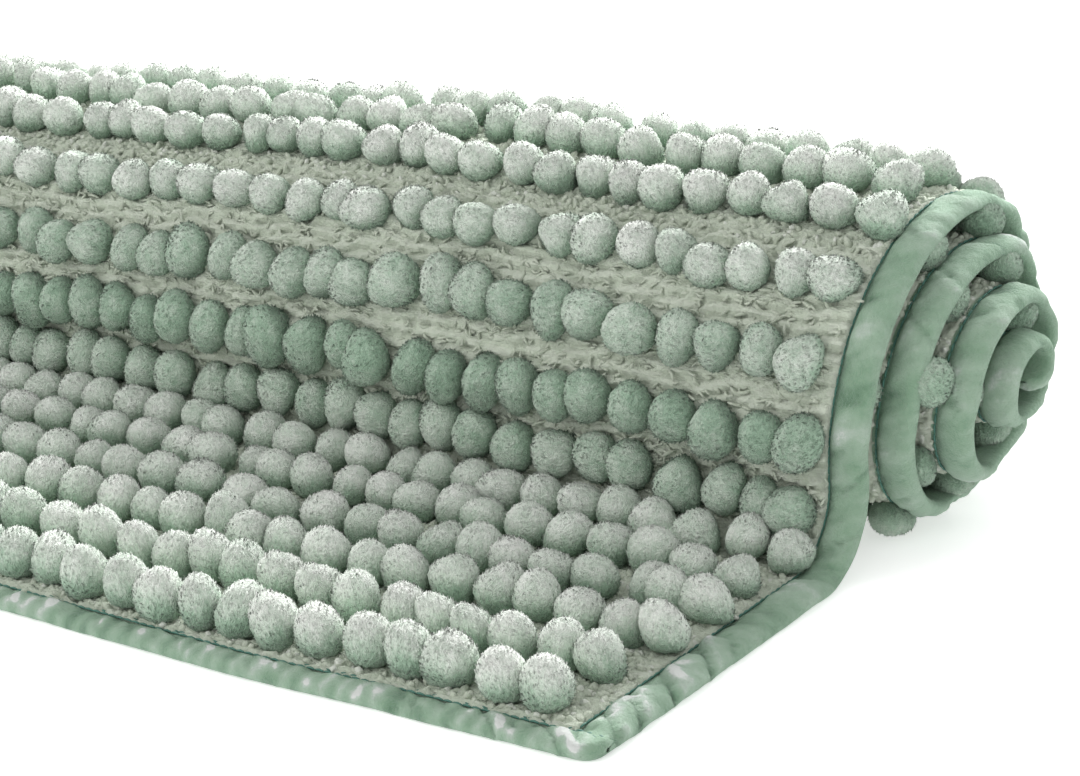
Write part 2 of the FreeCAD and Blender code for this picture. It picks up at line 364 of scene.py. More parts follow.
def add_sheen(shader, weight, roughness, tint):
    shader.inputs["Sheen Weight"].default_value = weight
    shader.inputs["Sheen Roughness"].default_value = roughness
    shader.inputs["Sheen Tint"].default_value = (*tint, 1)
    shader.inputs["Specular IOR Level"].default_value = 0.15


def bobble_material():
    """Plush chenille: sage at the root of the fibres, frosted at their tips, in fine clumps of fibre, with
    painted shade in the crevices between clumps; the tip shade also carries the painted light set in
    place_bobbles.
    """
    material, tree, shader = new_material("bobble_plush", 0.95)
    tip = node(tree, "ShaderNodeAttribute", attribute_name="tip").outputs["Fac"]
    fibre = node(tree, "ShaderNodeAttribute", attribute_name="fibre").outputs["Vector"]
    clumps = node(tree, "ShaderNodeTexVoronoi", feature="F1")
    clumps.inputs["Scale"].default_value = 1.15
    tree.links.new(fibre, clumps.inputs["Vector"])
    grain = noise(tree, 2.4, detail=2.0, roughness=0.5, over=fibre)
    brushed = noise(tree, 0.24, detail=2.0, roughness=0.5, over=fibre)
    # Painted shade: darker far from each clump's middle, in the crevices between clumps.
    crevice_painted_shade = map_range(tree, clumps.outputs["Distance"], 0.1, 0.75, 0.06, -0.06)
    speckle = map_range(tree, grain.outputs["Fac"], 0.3, 0.7, -0.07, 0.07)
    patch = map_range(tree, brushed.outputs["Fac"], 0.3, 0.7, -0.12, 0.12)
    relief = add_values(tree, crevice_painted_shade, speckle)
    shade = add_values(tree, add_values(tree, tip, patch), relief)
    ramped_colour(tree, shader, shade, [
        (0.0, 0.185, 0.290, 0.205),
        (0.3, 0.330, 0.465, 0.350),
        (0.6, 0.565, 0.655, 0.560),
        (1.0, 0.840, 0.860, 0.815),
    ])
    add_sheen(shader, 0.35, 0.5, (1.0, 1.0, 0.97))
    add_bump(tree, shader, relief, 0.0028, 0.9)
    return material


def ground_materials():
    """Greige tones of the short pile, lit and shaded copies of one colour: five for the strands, from painted
    shade at the root to painted light at the end, and three for the felted bed, painted shade, body and
    painted light.
    """
    tones = [
        ("ground_root_shade", (0.520, 0.585, 0.470)),
        ("ground_shade", (0.560, 0.625, 0.510)),
        ("ground_body", (0.590, 0.650, 0.535)),
        ("ground_light", (0.625, 0.680, 0.570)),
        ("ground_end_light", (0.760, 0.795, 0.720)),
        ("felt_shade", (0.520, 0.585, 0.470)),
        ("felt_body", (0.620, 0.690, 0.565)),
        ("felt_light", (0.675, 0.735, 0.620)),
    ]
    made = []
    for name, colour in tones:
        material, tree, shader = new_material(name, 0.85, colour)
        add_sheen(shader, 0.3, 0.5, (1.0, 1.0, 0.96))
        place = object_place(tree)
        bump_distance = 0.0018
        if name.startswith("felt"):
            combed = node(tree, "ShaderNodeMapping")
            combed.inputs["Scale"].default_value = (0.5, 1.0, 1.0)
            tree.links.new(place, combed.inputs["Vector"])
            place = combed.outputs["Vector"]
            bump_distance = 0.0028
        relief = noise(tree, 550.0, detail=5.0, roughness=0.7, over=place)
        add_bump(tree, shader, relief.outputs["Fac"], bump_distance, 0.9)
        made.append(material)
    return made


def binding_material():
    """Sage velour tape: painted light where a fold's crest stands up and on glint spots, painted shade in its
    creases, at its inner edges and underneath, with random mottling.
    """
    material, tree, shader = new_material("binding_velour", 0.7)
    painted_light_and_shade = node(tree, "ShaderNodeAttribute", attribute_name="painted_light_and_shade").outputs["Fac"]
    patches = noise(tree, 110.0, detail=6.0, roughness=0.75)
    spread = map_range(tree, patches.outputs["Fac"], 0.25, 0.75, -0.32, 0.20)
    ramped_colour(tree, shader, add_values(tree, painted_light_and_shade, spread), [
        (0.0, 0.130, 0.258, 0.156),
        (0.4, 0.297, 0.473, 0.322),
        (0.75, 0.430, 0.592, 0.451),
        (0.9, 0.580, 0.690, 0.600),
        (1.0, 0.900, 0.930, 0.900),
    ])
    add_sheen(shader, 0.55, 0.35, (0.9, 1.0, 0.94))
    fibres = noise(tree, 500.0, detail=6.0, roughness=0.75)
    add_bump(tree, shader, fibres.outputs["Fac"], 0.0022, 1.0)
    return material


def thread_material():
    material, tree, shader = new_material("seam_thread", 0.6, (0.070, 0.190, 0.150))
    add_bump(tree, shader, noise(tree, 3000.0).outputs["Fac"], 0.0001, 0.5)
    return material


def cloth_material():
    """The woven greige base cloth, hidden by the pile and the backing."""
    material, tree, shader = new_material("base_cloth_weave", 0.95, (0.500, 0.505, 0.410))
    weave = node(tree, "ShaderNodeTexWave", bands_direction="X")
    weave.inputs["Scale"].default_value = 260.0
    weave.inputs["Distortion"].default_value = 1.5
    tree.links.new(object_place(tree), weave.inputs["Vector"])
    add_bump(tree, shader, weave.outputs["Fac"], 0.0003, 0.7)
    return material


def backing_material():
    """Matte latex coat with a fine dimpled grip."""
    material, tree, shader = new_material("latex_backing", 0.65, (0.520, 0.560, 0.490))
    dots = node(tree, "ShaderNodeTexVoronoi")
    dots.inputs["Scale"].default_value = 420.0
    dots.inputs["Randomness"].default_value = 0.25
    tree.links.new(object_place(tree), dots.inputs["Vector"])
    add_bump(tree, shader, dots.outputs["Distance"], 0.0006, 0.8)
    return material


# ---- the cloth and its backing ----


CLOTH_INSET = 1.6
BACKING_INSET = 12.6
SHEET_ROWS = 640
SHEET_COLUMNS = 40


def make_sheet(name, node_name, material, inset, low, high):
    """A closed thin sheet with rounded corners that follows the path."""
    lengthways = np.linspace(inset, LENGTH - inset, SHEET_ROWS)
    across = np.linspace(inset, WIDTH - inset, SHEET_COLUMNS)
    s, u = np.meshgrid(lengthways, across, indexing="ij")
    from_corner = np.clip(CORNER_RADIUS - np.minimum(s, LENGTH - s) + inset, 0, CORNER_RADIUS)
    rounded = CORNER_RADIUS - np.sqrt(CORNER_RADIUS ** 2 - from_corner ** 2)
    u = WIDTH / 2 + (u - WIDTH / 2) * (1 - rounded / (WIDTH / 2 - inset))
    top = surface(u, s, high).reshape(-1, 3)
    bottom = surface(u, s, low).reshape(-1, 3)
    piece = make_mesh(name, np.concatenate([top, bottom]), closed_sheet_faces(*s.shape), [material])
    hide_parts(node_name)


# ---- bobbles ----


BOBBLE_PITCH = 13.77
BALL_VARIANTS = 10
TUFTS_PER_BALL = 410
TUFT_FOOT = 0.88
FIBRE_STRETCH = (7.0, 7.0, 4.2)
LAST_OUTER_ROW = 19
SEEN_FROM_END = 60.0
ROW_HEIGHTS = {1: 16.6, 2: 16.2, 3: 15.0, 4: 14.2, 17: 13.2, 18: 6.4, 19: 10.6}


def ball(frequency):
    """Directions over a sphere from a folded square grid, their faces, and their places on the square."""
    steps = np.linspace(-1, 1, 2 * frequency + 1)
    a, b = (grid.ravel() for grid in np.meshgrid(steps, steps, indexing="ij"))
    up = 1 - np.abs(a) - np.abs(b)
    fold_a = np.where(up < 0, (1 - np.abs(b)) * np.where(a >= 0, 1, -1), a)
    fold_b = np.where(up < 0, (1 - np.abs(a)) * np.where(b >= 0, 1, -1), b)
    rays = unit(np.stack([fold_a, fold_b, up], axis=-1))
    faces = grid_faces(len(steps), len(steps))[:, ::-1]
    return rays, faces, np.stack([a, b], axis=-1) * 0.5 + 0.5


def scattered_directions(count):
    """Evenly scattered directions over the part of a sphere that stands clear of the cloth."""
    index = np.arange(count) + 0.5
    height = 1 - 1.7 * index / count
    turn = math.pi * (1 + math.sqrt(5)) * index
    ring = np.sqrt(1 - height ** 2)
    return np.stack([ring * np.cos(turn), ring * np.sin(turn), height], axis=-1)


def make_variant(rays, centres, seed):
    """Points and tip shades of one bobble of radius 1: a soft lumpy ball with pointed tufts of fibre."""
    rng = np.random.default_rng(seed)
    axes = unit(rng.normal(size=(5, 3)))
    swell, ripple = rng.uniform(-0.08, 0.08, 5), rng.uniform(-0.045, 0.045, 5)

    def lump(directions_out):
        reach = directions_out @ axes.T
        return 1 + reach @ swell + np.cos(3 * np.arccos(np.clip(reach, -1, 1))) @ ripple

    centres = unit(centres + rng.normal(0, 0.045, centres.shape))
    height = rng.uniform(-0.6, 1.0, len(centres))
    apart = (2 - 2 * rays @ centres.T).min(axis=1)
    bump = np.exp(-np.clip(apart, 0, None) / 0.075 ** 2)
    grit = rng.normal(0, 1, len(rays))
    radius = lump(rays) * (0.945 + 0.055 * bump + 0.014 * grit)
    ball_points = rays * radius[:, None]
    ball_tips = 0.17 + 0.07 * bump + 0.02 * grit

    side = unit(np.cross(centres, unit(rng.normal(size=centres.shape))))
    other = np.cross(centres, side)
    upward = np.array([0.0, 0.0, 1.0]) - centres * centres[:, 2:3]
    drift = 0.20 * upward + 0.075 * rng.normal(size=centres.shape)
    reach = lump(centres)[:, None]
    girth = rng.uniform(0.09, 0.125, len(centres))[:, None]
    corners = []
    for corner in range(3):
        around = 2 * math.pi * corner / 3
        sideways = math.cos(around) * side + math.sin(around) * other
        corners.append(centres * reach * TUFT_FOOT + girth * sideways)
    ends = unit(centres + drift) * reach * (1.04 + 0.03 * height[:, None])
    tuft_points = np.stack([*corners, ends], axis=1).reshape(-1, 3)
    tuft_tips = np.stack([*[0.17 + 0 * height] * 3, 0.27 + 0.07 * height], axis=1).ravel()
    return np.concatenate([ball_points, tuft_points]), np.concatenate([ball_tips, tuft_tips])


class BallSet:
    """The variants of bobble of one fineness, with their shared faces and places on the map."""

    def __init__(self, frequency, tufts):
        rays, quads, square = ball(frequency)
        whole, inverse = np.unique(np.round(rays, 6), axis=0, return_inverse=True)
        inverse = inverse.ravel()
        centres = scattered_directions(tufts) if tufts else np.zeros((0, 3))
        nearest = (centres @ rays.T).argmax(axis=1)
        cell = 0.3 / (2 * frequency)
        tuft_square = square[nearest][:, None] + cell * np.array([[0, 0], [1, 0], [0, 1], [1, 1]])[None]
        first = len(rays) + 4 * np.arange(tufts)[:, None, None]
        tuft_faces = np.array([[0, 1, 3], [1, 2, 3], [2, 0, 3], [0, 2, 1]])[None] + first
        triangles = np.concatenate([quads[:, [0, 1, 2]], quads[:, [0, 2, 3]]])
        self.square = np.concatenate([square, tuft_square.reshape(-1, 2)])
        self.inverse = np.concatenate([inverse, len(whole) + np.arange(4 * tufts)])
        self.faces = np.concatenate([triangles, tuft_faces.reshape(-1, 3)])
        if tufts:
            variants = [make_variant(whole, centres, SEED + index) for index in range(BALL_VARIANTS)]
        else:
            variants = [(whole, 0.1 + 0 * whole[:, 2]) for _ in range(BALL_VARIANTS)]
        self.points = np.stack([points for points, _ in variants])
        self.tips = np.stack([tip for _, tip in variants])
        self.fibres = self.points[0] * np.array(FIBRE_STRETCH)


def place_bobbles(balls, rng, u, s, foot, radii, lean, tilt, shade, painted_row_light):
    """Points, tip shades, fibre places and soft normals of bobbles at (u, s), standing on the height foot.
    The tip shades carry painted light: lighter at the crowns, and darker towards the feet as painted shade.
    """
    count = len(u)
    which = rng.integers(0, BALL_VARIANTS, count)
    shapes = balls.points[which]
    turn = rng.integers(0, 4, count) * math.pi / 2 + rng.normal(0, 0.2, count)
    cos, sin = np.cos(turn)[:, None], np.sin(turn)[:, None]
    x = shapes[:, :, 0] * cos - shapes[:, :, 1] * sin
    y = shapes[:, :, 0] * sin + shapes[:, :, 1] * cos
    z = shapes[:, :, 2]
    below = np.clip(-z, 0, 0.999)
    squared_foot = (1 - below ** 3) ** (1 / 3) / np.sqrt(1 - below ** 2)
    pinch = np.minimum(squared_foot, 1.45) * (1 - 0.20 * below ** 1.5)
    flare = 1 + 0.12 * rng.normal(size=(count, 1)) * y
    x, y, z = x * pinch * flare * radii[:, 0:1], y * pinch * radii[:, 1:2], (z + 1) * radii[:, 2:3]
    x, y = x - tilt[:, None] * y, y + tilt[:, None] * x
    x = x + lean[:, 0:1] * z
    y = y + lean[:, 1:2] * z
    along, out = directions(s)
    base = surface(u, s, foot)
    points = base[:, None, :] + y[..., None] * along[:, None, :] + z[..., None] * out[:, None, :]
    points[..., 0] += x
    top = shapes[:, :, 2] * 0.5 + 0.5
    # The crown is lighter, partly from its frosted fibre ends and partly as painted light from above; the
    # foot is darker as painted shade.
    crown_frost_and_painted_light = 0.68 * smooth(np.clip(top, 0, 1) * 1.15 - 0.10)
    # Each row's painted light scales its frosted tips, so rows that stand in shade are painted darker.
    tips = (balls.tips[which] + crown_frost_and_painted_light) * painted_row_light - 0.10 + shade[:, None]
    fibres = balls.fibres[None] + rng.uniform(0, 500, (count, 1, 3))
    middle = base + out * radii[:, 2:3]
    normals = unit(points - middle[:, None, :])
    return points, tips, fibres, normals


def bobble_spots(number, rng):
    """The u places and half widths of a row's bobbles, from one binding to the other."""
    room = WIDTH - 2 * ROW_END_GAP
    count = int(room / BOBBLE_PITCH) + int(rng.random() < 0.5)
    widths = rng.normal(1.0, 0.085, count + 1)
    start = rng.uniform(-0.4, 0.25) if number < LAST_OUTER_ROW else rng.uniform(-0.6, -0.2)
    ends = np.cumsum(widths) - widths[0] + start
    centres = ends[:-1] + widths[:-1] * 0.5
    u = WIDTH - ROW_END_GAP - centres * BOBBLE_PITCH
    keep = (u > ROW_END_GAP - 1.0) & (u < WIDTH - ROW_END_GAP + 1.0)
    return u[keep], (widths[:-1] * BOBBLE_PITCH * 0.51)[keep]


def free_height(number, u):
    """How tall the bobbles of a row stand over the cloth, pressed inside the roll and under it."""
    if number in ROW_HEIGHTS:
        return np.full(len(u), ROW_HEIGHTS[number])
    if number <= 12:
        return np.full(len(u), 13.4)
    if number <= 16:
        return (10.4 if number == 13 else 13.6) + 3.0 * smooth((u - 120) / 60)
    from_end = np.minimum(u, WIDTH - u)
    return 8.0 + 4.0 * smooth((34 - from_end) / 20)


def half_breadth(number):
    """Half of a bobble's breadth along the cloth: least where the roll's weight rests on the row."""
    if number == 18:
        return 5.6
    return 6.8 if number <= LAST_OUTER_ROW else 7.4


def painted_row_light_of(number, face):
    """How far a row's fibre tips are frosted, as painted light: less on the face of the roll and inside it,
    where painted shade stands for the light they lack.
    """
    if number < 14:
        return 1 - 0.42 * face
    return 0.82 if number < 16 else 0.5


def join_bobbles(parts, count):
    """One mesh's arrays from runs of placed bobbles, each bobble on a cell of its own in the map."""
    cells = math.ceil(math.sqrt(count))
    joined = [[] for _ in range(6)]
    start, cell = 0, 0
    for balls, *placed in parts:
        for bobble in zip(*placed):
            corner = np.array([cell % cells, cell // cells])
            uv = (corner + 0.04 + 0.92 * balls.square) / cells
            arrays = [array[balls.inverse] for array in bobble]
            for column, array in zip(joined, [*arrays, uv, balls.faces + start]):
                column.append(array)
            start += len(balls.inverse)
            cell += 1
    return [np.concatenate(column) for column in joined]


FINE = BallSet(14, TUFTS_PER_BALL)
COARSE = BallSet(6, 0)


def make_row(number, material):
    """One row of bobbles; those deep inside the roll are coarse balls without tufts."""
    rng = np.random.default_rng(SEED * 100 + number)
    s_row = FIRST_ROW + (number - 1) * ROW_PITCH
    s_row += gathering(s_row)
    u, half = bobble_spots(number, rng)
    count = len(u)
    s = s_row + 0.9 * waves(u, s_row + 0 * u, 120.0, SEED + number, 4) + rng.normal(0, 0.45, count)
    height = free_height(number, u) * rng.normal(1.0, 0.035, count)
    face = smooth(1 - abs(number - 8.0) / 2.6)
    radii = np.stack([
        half * rng.normal(1.0, 0.03, count),
        (half_breadth(number) + 1.7 * face) * rng.normal(1.0, 0.05 + 0.03 * face, count),
        height / 2,
    ], axis=-1)
    lean = np.stack([rng.normal(0, 0.09, count), rng.normal(-0.05 * face, 0.07, count)], axis=-1)
    tilt = rng.normal(0, 0.06 + 0.16 * face, count)
    # A random tone for each bobble, darker on the face of the roll as painted shade.
    shade = rng.normal(0.01 - 0.06 * face, 0.05, count)
    hidden = (number > LAST_OUTER_ROW) & (np.minimum(u, WIDTH - u) > SEEN_FROM_END)
    parts = []
    for balls, chosen in ((FINE, ~hidden), (COARSE, hidden)):
        if chosen.any():
            placed = place_bobbles(
                balls, rng, u[chosen], s[chosen], CLOTH_TOP, radii[chosen], lean[chosen], tilt[chosen],
                shade[chosen], painted_row_light_of(number, face))
            parts.append((balls, *placed))
    points, tips, fibres, normals, uv, faces = join_bobbles(parts, count)
    points[:, 2] = np.maximum(points[:, 2], 0.15)
    piece = make_mesh(f"bobbles_{number:02d}", points, faces, [material], floats={"tip": tips},
                      vectors={"fibre": fibres}, uv=uv, normals=normals)
    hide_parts(f"bobble_row_{number:02d}")


# ---- ground pile ----


SEEN_LENGTH = 400.0
END_SEEN = 55.0
STRAND_SPACING = 1.9
STRAND_RINGS = 5
STRAND_SIDES = 4
STRAND_PROFILE = (0.75, 1.1, 1.15, 1.05, 0.55)
# Slots 0 to 4 are the strand tones, from painted shade at the foot to painted light at the end; from
# FELT_SLOT on come the felt's painted shade, body and painted light.
LIGHTEST_STRAND_SLOT = 4
LIGHTEST_FLAT_SLOT = 3
DARKEST_FLAT_SLOT = 2
FELT_SLOT = 5
CORD_PITCH = 4.4


def strand_faces():
    """Triangles of one closed strand: its sides, and two that close each end."""
    sides = grid_faces(STRAND_RINGS, STRAND_SIDES, close_columns=True)
    last = (STRAND_RINGS - 1) * STRAND_SIDES
    caps = [[2, 1, 0], [3, 2, 0], [last, last + 1, last + 2], [last, last + 2, last + 3]]
    return np.concatenate([sides[:, [0, 1, 2]], sides[:, [0, 2, 3]], caps])


def strand_turns(u, rng, lying):
    """Which way each strand leans, and how far it is one of those that lean out to a side tape."""
    count = len(u)
    turn = rng.uniform(0, 2 * math.pi, count)
    combed = rng.choice([0.0, math.pi], count) + rng.normal(0, 0.5, count)
    turn = np.where(rng.random(count) < lying, combed, turn)
    near_tape = smooth((BINDING_WIDTH + 7 - np.minimum(u, WIDTH - u)) / 5)
    to_edge = near_tape * (rng.random(count) < 0.35)
    outwards = np.where(u > WIDTH / 2, 0.0, math.pi) + rng.normal(0, 0.5, count)
    return np.where(to_edge > 0.5, outwards, turn), to_edge


def strand_slots(rng, lying):
    """The tone of each triangle: darker at a strand's foot as painted shade and lighter at its end as painted
    light, and less so where strands lie flat; each strand's tone also differs at random.
    """
    tone = rng.choice([0, 1, 1, 2], len(lying))
    side_steps = [0] * STRAND_SIDES + [1] * STRAND_SIDES * 2 + [2] * STRAND_SIDES
    steps = np.array(side_steps * 2 + [0, 0, 2, 2])
    flat = (lying > 0.5)[:, None]
    darkest = np.where(flat, DARKEST_FLAT_SLOT, 0)
    lightest = np.where(flat, LIGHTEST_FLAT_SLOT, LIGHTEST_STRAND_SLOT)
    return np.clip(steps[None] + tone[:, None], darkest, lightest).ravel()


def make_strands(u, s, rng, lying):
    """Curved tapering strands that grow from the cloth at (u, s); lying goes from 0, upright, to 1, flat."""
    count = len(u)
    length = rng.uniform(2.8, 4.2, count) * (1 + 0.2 * lying)
    thick = rng.uniform(0.95, 1.35, count) * (1 - 0.60 * lying)
    turn, to_edge = strand_turns(u, rng, lying)
    lying = lying * (1 - to_edge)
    step = length * (1 - 0.3 * to_edge) / (STRAND_RINGS - 1)
    upright_lean = np.clip(rng.normal(0.55, 0.3, count), 0.05, 1.2)
    lean = upright_lean * (1 - lying) + rng.normal(1.45, 0.12, count) * lying
    curl = rng.normal(0.9, 0.5, count) * (1 - 0.9 * lying)
    sway = rng.normal(0, 0.8, count)
    along, out = directions(s)
    centre = surface(u, s, CLOTH_TOP - 0.3 + rng.uniform(2.0, 3.6, count) * lying)
    sideways = np.array([1.0, 0.0, 0.0])
    level = np.cos(turn)[:, None] * sideways + np.sin(turn)[:, None] * along
    cross = np.cross(out, level)
    rings = []
    for index, fraction in enumerate(np.linspace(0, 1, STRAND_RINGS)):
        angle = lean * (0.55 + 0.45 * fraction) + curl * fraction ** 2
        swayed = sway * math.sin(math.pi * 1.7 * fraction)
        heading = np.cos(swayed)[:, None] * level + np.sin(swayed)[:, None] * cross
        forward = np.sin(angle)[:, None] * heading + np.cos(angle)[:, None] * out
        side = np.cross(forward, cross)
        if index:
            centre = centre + forward * step[:, None]
        for corner in range(STRAND_SIDES):
            around = 2 * math.pi * corner / STRAND_SIDES
            radius = (thick * STRAND_PROFILE[index])[:, None]
            rings.append(centre + (math.cos(around) * cross + math.sin(around) * side) * radius)
    points = np.stack(rings, axis=1).reshape(-1, 3)
    first = np.arange(count) * STRAND_RINGS * STRAND_SIDES
    faces = (strand_faces()[None] + first[:, None, None]).reshape(-1, 3)
    return points, faces, strand_slots(rng, lying)


def lying_at(s):
    """How flat the strands lie: pressed and combed sideways on the face of the roll."""
    return 0.9 * smooth((s - 128) / 14) * smooth((236 - s) / 22)


def make_bed(low, high):
    """The matted lower pile, a lumpy closed strip under the strands, in low cords on the face of the roll."""
    rows, spacing = (20, 1.5) if low < SEEN_LENGTH else (9, 2.6)
    columns = np.arange(BINDING_WIDTH - 1, WIDTH - BINDING_WIDTH + 2, spacing)
    s, u = np.meshgrid(np.linspace(low, high, rows), columns, indexing="ij")
    lying = lying_at(s)
    lumps = 0.5 * waves(u * (1 - 0.5 * lying), s * (1 + 0.4 * lying), 5.0, SEED + 3)
    winding = 1.5 * waves(u, 0.3 * s, 28.0, SEED + 9)
    cords = np.abs(np.sin(math.pi * (s + winding) / CORD_PITCH)) * lying
    crease = np.exp(-(waves(u * (1 - 0.8 * lying), s, 7.0, SEED + 6) / 0.16) ** 2)
    fine = 0.35 * waves(u, s, 2.8, SEED + 4)
    height = 2.7 + 0.2 * lying + 2.0 * cords + lumps + fine - 0.9 * crease
    top = surface(u, s, height).reshape(-1, 3)
    bottom = surface(u, s, CLOTH_TOP + 0.05).reshape(-1, 3)
    quads = closed_sheet_faces(*s.shape)
    faces = np.concatenate([quads[:, [0, 1, 2]], quads[:, [0, 2, 3]]])
    mottle = 0.7 * waves(u * 0.5, s, 4.0, SEED + 8)
    # Painted light and shade: lighter on the cords' crests, painted shade in their troughs and in the
    # creases, darker where the pile lies flat on the face of the roll, with random mottling.
    tone = 1.6 - 1.2 * lying + 2.2 * cords + mottle - 1.2 * crease
    face_tone = tone.ravel()[faces[:, 0] % s.size]
    return np.concatenate([top, bottom]), faces, FELT_SLOT + np.clip(face_tone, 0, 2).astype(int)


def strand_spots(low, high, rng):
    """Where the strands of a strip stand: not under bobbles, and only where they can be seen."""
    lengthways = np.arange(low, high, STRAND_SPACING)
    across = np.arange(BINDING_WIDTH + 0.6, WIDTH - BINDING_WIDTH - 0.4, STRAND_SPACING)
    s, u = np.meshgrid(lengthways, across, indexing="ij")
    s = (s + rng.uniform(-0.5, 0.5, s.shape) * STRAND_SPACING).ravel()
    u = (u + rng.uniform(-0.5, 0.5, u.shape) * STRAND_SPACING).ravel()
    from_side = np.minimum(u, WIDTH - u)
    seen = (s < SEEN_LENGTH) | (from_side < END_SEEN)
    from_row = (s - gathering(s) - FIRST_ROW + ROW_PITCH / 2) % ROW_PITCH - ROW_PITCH / 2
    under_bobble = (np.abs(from_row) < 3.4) & (s > FIRST_ROW - 1.5) & (from_side > ROW_END_GAP + 6)
    chosen = rng.random(len(s)) < 1 - 0.62 * lying_at(s)
    between_tapes = (s > FRONT_BAND + 0.3) & (s < LENGTH - BINDING_WIDTH - 0.6)
    keep = chosen & seen & ~under_bobble & between_tapes
    return u[keep], s[keep]


def make_ground_strip(index, low, high, materials):
    """The pile between two rows of bobbles: strands over their bed."""
    rng = np.random.default_rng(SEED * 1000 + index)
    u, s = strand_spots(low, high, rng)
    points, faces, slots = make_strands(u, s, rng, lying_at(s))
    bed_points, bed_faces, bed_slots = make_bed(low, high)
    faces = np.concatenate([faces, bed_faces + len(points)])
    slots = np.concatenate([slots, bed_slots])
    points = np.concatenate([points, bed_points])
    points[:, 2] = np.maximum(points[:, 2], 0.1)
    piece = make_mesh(f"ground_pile_{index:02d}", points, faces, materials, slots=slots)
    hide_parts("ground_pile")


# ---- binding tape ----


PUCKER_LENGTH = 11.5
FRONT_PUCKER_LENGTH = 6.5
FRONT_LOWERING = 0.76
END_ROUNDING = 3.5
STATION_SPACING = 0.9
CREASE_SPACING = 21.0
TAPE_LOWEST = 0.02
SECTION_CENTRE = (6.0, 0.4)
SECTION_CLOSING = 0.02
# each pleat is (place, slope, width) and each painted glint spot is (place, inward, length, strength)
SIDE_PLEATS = [(BINDING_WIDTH + 3, 0.9, 0.9), (BINDING_WIDTH + 15, 1.1, 0.8), (BINDING_WIDTH + 30, 0.8, 0.9),
               (BINDING_WIDTH + 49, 1.0, 0.8)]
SIDE_GLINTS = [(20, 8, 3, 0.55), (32, 8, 3.5, 0.5), (45, 8, 3.5, 0.5), (60, 7, 3, 0.35), (296, 8, 4, 0.4),
                (306, 6, 3, 0.5), (316, 9, 5, 0.4), (333, 8, 4, 0.3)]
FRONT_PLEATS = [(18, 0.8, 0.8), (WIDTH - 15, -0.9, 0.8), (WIDTH - 34, -0.8, 0.8)]


def tape_profile():
    """The tape's section, from the inner edge of its pile face round the nose to that of its underside.

    Rows of (distance in from the edge, height, how much it wrinkles, how light it is painted: painted light
    on the top face, painted shade at the inner edges and underneath).
    """
    outer = [
        (12.8, 1.2, 0.1, 0.4), (12.6, 1.9, 0.3, 0.5), (12.1, 2.0, 0.3, 0.3), (11.6, 1.7, 0.2, 0.0),
        (11.0, 1.8, 0.3, 0.0), (10.0, 2.7, 0.8, 0.35), (8.5, 3.4, 1.0, 0.55), (6.4, 3.6, 1.0, 0.62),
        (4.4, 3.5, 1.0, 0.62), (2.6, 3.1, 0.9, 0.62), (1.1, 2.2, 0.9, 0.62), (0.2, 0.9, 0.8, 0.58),
        (0.0, -0.1, 0.6, 0.5), (0.5, -1.0, 0.3, 0.45), (1.6, -1.55, 0.1, 0.4), (4.0, -1.75, 0.1, 0.4),
        (8.0, -1.75, 0.1, 0.4), (12.4, -1.7, 0.0, 0.4),
    ]
    inner = [(12.4, -0.8, 0.0, 0.2), (6.0, -0.8, 0.0, 0.2), (1.6, -0.8, 0.0, 0.2),
             (1.6, 0.8, 0.0, 0.2), (6.0, 0.8, 0.0, 0.2), (12.6, 0.8, 0.0, 0.2)]
    return np.array(outer + inner)


def tape_creases(along, inward, run, rng, pleats):
    """Depths of the tape's sharp creases, and the soft swell that stands before each pleat."""
    creases, swell = np.zeros_like(inward), np.zeros_like(inward)
    starts = np.arange(run[0] + 8, run[-1], CREASE_SPACING)
    for middle in starts + rng.uniform(-8, 8, len(starts)):
        slope, depth, width = rng.uniform(-1.3, 1.3), rng.uniform(0.4, 1.3), rng.uniform(0.6, 1.1)
        reach = np.exp(-((inward - rng.uniform(2, 8)) / rng.uniform(3, 6)) ** 2)
        creases += depth * reach * np.exp(-((along - middle - slope * (inward - 5)) / width) ** 2)
    for middle, slope, width in pleats:
        across_pleat = along - middle - slope * (inward - 5)
        creases += 1.5 * np.exp(-(across_pleat / width) ** 2)
        swell += 1.1 * np.exp(-((across_pleat - 4) / 3) ** 2)
    return creases, swell


